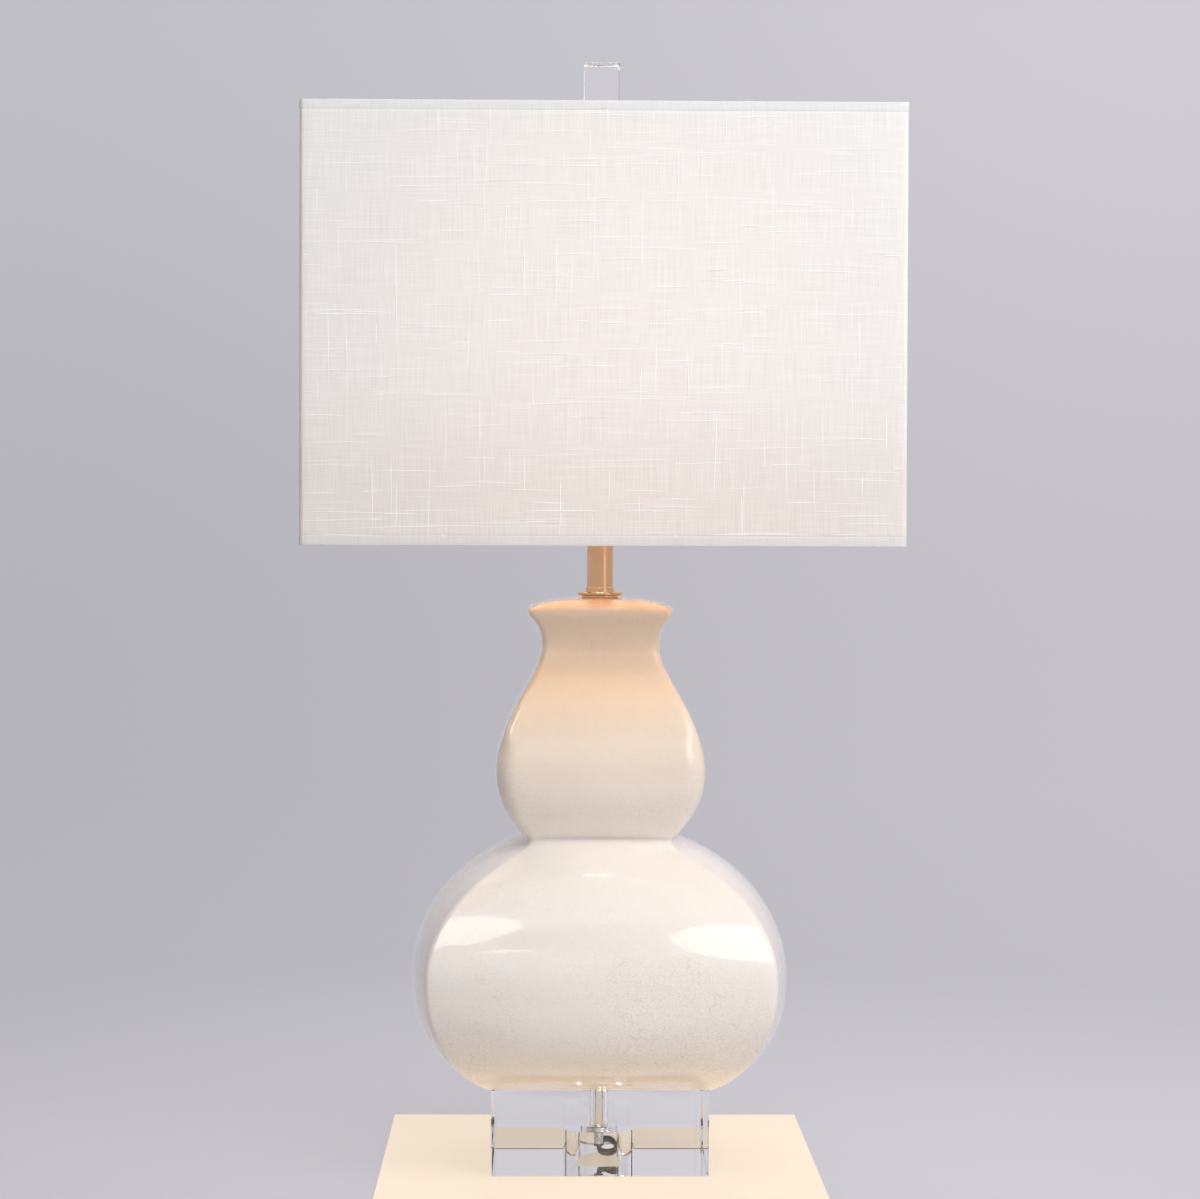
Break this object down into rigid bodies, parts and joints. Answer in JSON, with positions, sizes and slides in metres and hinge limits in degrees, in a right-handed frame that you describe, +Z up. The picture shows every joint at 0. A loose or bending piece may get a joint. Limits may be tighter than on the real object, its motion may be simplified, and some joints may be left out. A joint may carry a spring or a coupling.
{
  "type": "double gourd lamp",
  "caption": "Table lamp: square-shouldered ivory crackle double gourd on a clear block, short metal neck, and a rectangular linen shade hung on a harp under a clear finial.",
  "frame": {"origin": "centre of the clear block's underside, on the table", "axes": "+Z up along the lamp's pipe, -Y towards the front that the picture shows, +X to the lamp's right as the viewer sees it; the cord leaves towards +Y"},
  "size_m": [0.4064, 0.5048, 0.7727],
  "materials": {
    "clear_block": "polished clear acrylic",
    "chrome": "polished",
    "steel": "zinc plated",
    "dark_plastic": "satin",
    "ivory_glaze": "glossy ivory crackle glaze on ceramic",
    "nickel": "brushed nickel",
    "fibre": "dark insulating card",
    "moulding": "dark moulded phenolic",
    "brass": "plain brass",
    "black_knob": "satin black",
    "bulb_metal": "rolled thread",
    "frosted_glass": "frosted white",
    "linen": "white slub linen",
    "hardback": "white stiff liner",
    "frame_wire": "white enamel",
    "cord": "matt dark brown",
    "cord_plug": "moulded dark brown",
    "tie": "dark strap"
  },
  "bodies": {
    "lamp": {"base_block": "clear_block", "base_sleeve": "chrome", "base_washer": "steel", "base_nut": "steel", "threaded_pipe": "steel", "pipe_bushing": "dark_plastic", "rear_bushing": "dark_plastic", "gourd_body": "ivory_glaze", "seat_disc": "nickel", "check_ring": "nickel", "neck_collar": "nickel", "neck_tube": "nickel", "harp_saddle": "nickel", "socket_cap": "nickel", "cap_screw": "steel", "socket_shell": "nickel", "socket_liner": "fibre", "socket_core": "moulding", "screw_shell": "brass", "centre_contact": "brass", "cord_inner": "cord", "cord_lead": "cord", "cord_coil": "cord", "coil_tie": "tie", "cord_tail": "cord", "plug_body": "cord_plug", "plug_blades": "brass"},
    "switch": {"switch_stem": "brass", "switch_knob": "black_knob"},
    "bulb": {"bulb_contact": "steel", "bulb_cap": "bulb_metal", "bulb_glass": "frosted_glass"},
    "harp": {"harp": "nickel"},
    "ferrule_left": {"harp_ferrule_left": "nickel"},
    "ferrule_right": {"harp_ferrule_right": "nickel"},
    "swivel": {"swivel_stud": "nickel"},
    "shade": {"shade_linen": "linen", "shade_liner": "hardback", "shade_top_frame": "frame_wire", "shade_bottom_frame": "frame_wire"},
    "finial": {"finial_base": "nickel", "finial_block": "clear_block"}
  },
  "joints": [
    {"name": "switch_turn", "type": "hinge", "parent": "lamp", "child": "switch", "pos_m": [0, 0, 0.4833], "axis": [0, -1, 0], "continuous": true},
    {"name": "bulb_turn", "type": "hinge", "parent": "lamp", "child": "bulb", "pos_m": [0, 0, 0.5], "axis": [0, 0, 1], "range_deg": [0, 1440]},
    {"name": "harp_lift", "type": "slide", "parent": "lamp", "child": "harp", "axis": [0, 0, 1], "range_m": [0, 0.02]},
    {"name": "ferrule_left_lift", "type": "slide", "parent": "harp", "child": "ferrule_left", "axis": [0, 0, 1], "range_m": [0, 0.016]},
    {"name": "ferrule_right_lift", "type": "slide", "parent": "harp", "child": "ferrule_right", "axis": [0, 0, 1], "range_m": [0, 0.016]},
    {"name": "shade_turn", "type": "hinge", "parent": "harp", "child": "swivel", "pos_m": [0, 0, 0.7146], "axis": [0, 0, 1], "continuous": true},
    {"name": "shade_lift", "type": "slide", "parent": "swivel", "child": "shade", "axis": [0, 0, 1], "range_m": [0, 0.3]},
    {"name": "finial_turn", "type": "hinge", "parent": "shade", "child": "finial", "pos_m": [0, 0, 0.7208], "axis": [0, 0, 1], "continuous": true}
  ]
}
